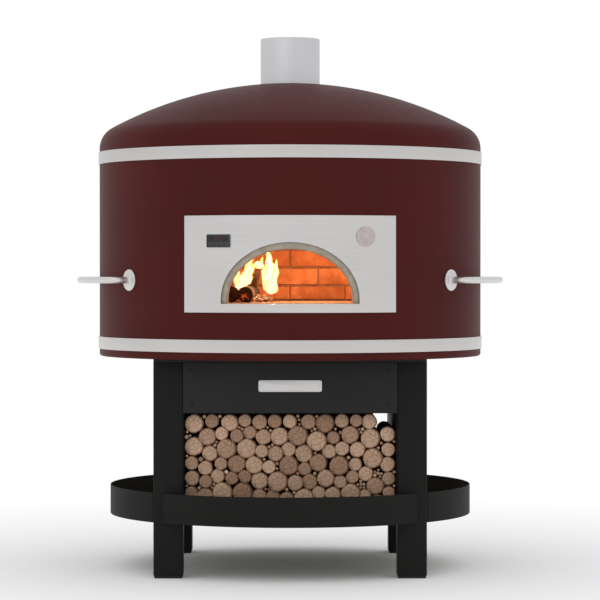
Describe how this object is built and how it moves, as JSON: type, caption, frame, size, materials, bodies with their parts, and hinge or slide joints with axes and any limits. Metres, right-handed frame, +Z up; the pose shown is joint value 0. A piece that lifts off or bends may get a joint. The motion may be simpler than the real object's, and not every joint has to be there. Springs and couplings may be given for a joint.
{
  "type": "wood fired pizza oven",
  "caption": "Round insulated drum oven with a domed cover, arched mouth and central flue, on a square steel stand with a firewood bay and a round tray.",
  "frame": {"origin": "on the floor under the drum's axis, at the centre of the footprint", "axes": "+Z up along the drum's axis, -Y out of the oven's mouth, +X to the right as seen from the front"},
  "size_m": [1.6818, 1.5207, 2.079],
  "materials": {
    "black_powder_coat": "satin",
    "rubber_pad": "matte",
    "stainless": "satin",
    "flue_steel": "satin",
    "firewood": "matte",
    "red_powder_coat": "satin",
    "insulation": "matte",
    "firebrick": "matte",
    "refractory_cement": "matte",
    "black_plastic": "satin",
    "display_window": "gloss",
    "key_rubber": "matte",
    "badge_paint": "satin",
    "embers": "matte",
    "burning_wood": "matte"
  },
  "bodies": {
    "oven": {"leg_front_left": "black_powder_coat", "leg_front_right": "black_powder_coat", "leg_rear_left": "black_powder_coat", "leg_rear_right": "black_powder_coat", "header_front": "black_powder_coat", "header_rear": "black_powder_coat", "side_panel_left": "black_powder_coat", "side_panel_right": "black_powder_coat", "top_plate": "black_powder_coat", "tray_floor": "black_powder_coat", "tray_wall_front": "black_powder_coat", "tray_wall_right": "black_powder_coat", "tray_wall_rear": "black_powder_coat", "tray_wall_left": "black_powder_coat", "foot_pad_front_left": "rubber_pad", "foot_pad_front_right": "rubber_pad", "foot_pad_rear_left": "rubber_pad", "foot_pad_rear_right": "rubber_pad", "name_plate": "stainless", "band_lower": "stainless", "band_upper": "stainless", "band_clasp_lower": "stainless", "band_clasp_upper": "stainless", "front_plate": "stainless", "rail_left": "stainless", "rail_right": "stainless", "rail_flange_left_front": "stainless", "rail_flange_left_rear": "stainless", "rail_flange_right_front": "stainless", "rail_flange_right_rear": "stainless", "flue_pipe": "flue_steel", "flue_liner": "flue_steel", "flue_collar": "flue_steel", "thermocouple_probe": "flue_steel", "firewood_front": "firewood", "firewood_rear": "firewood", "base_pan": "red_powder_coat", "drum_shell": "red_powder_coat", "dome_cover": "red_powder_coat", "hearth_insulation": "insulation", "insulation_blanket": "insulation", "hearth_floor": "firebrick", "brick_course_1": "firebrick", "brick_course_2": "firebrick", "brick_course_3": "firebrick", "chamber_dome": "firebrick", "mouth_arch": "refractory_cement", "controller_housing": "black_plastic", "cable_gland": "black_plastic", "thermocouple_lead": "black_plastic", "controller_window": "display_window", "round_badge": "badge_paint", "ember_bed": "embers", "fire_logs": "burning_wood"},
    "flue_damper": {"damper_plate": "flue_steel", "damper_spindle": "flue_steel", "damper_handle": "black_powder_coat"},
    "key_down": {"controller_key_down": "key_rubber"},
    "key_set": {"controller_key_set": "key_rubber"},
    "key_up": {"controller_key_up": "key_rubber"}
  },
  "joints": [
    {"name": "damper_turn", "type": "hinge", "parent": "oven", "child": "flue_damper", "pos_m": [0, 0, 1.982], "axis": [0, 1, 0], "range_deg": [0, 90]},
    {"name": "key_down_press", "type": "slide", "parent": "oven", "child": "key_down", "axis": [0.3502, 0.9367, 0], "range_m": [0, 0.0015], "stiffness_N_per_m": 600},
    {"name": "key_set_press", "type": "slide", "parent": "oven", "child": "key_set", "axis": [0.3502, 0.9367, 0], "range_m": [0, 0.0015], "stiffness_N_per_m": 600},
    {"name": "key_up_press", "type": "slide", "parent": "oven", "child": "key_up", "axis": [0.3502, 0.9367, 0], "range_m": [0, 0.0015], "stiffness_N_per_m": 600}
  ]
}
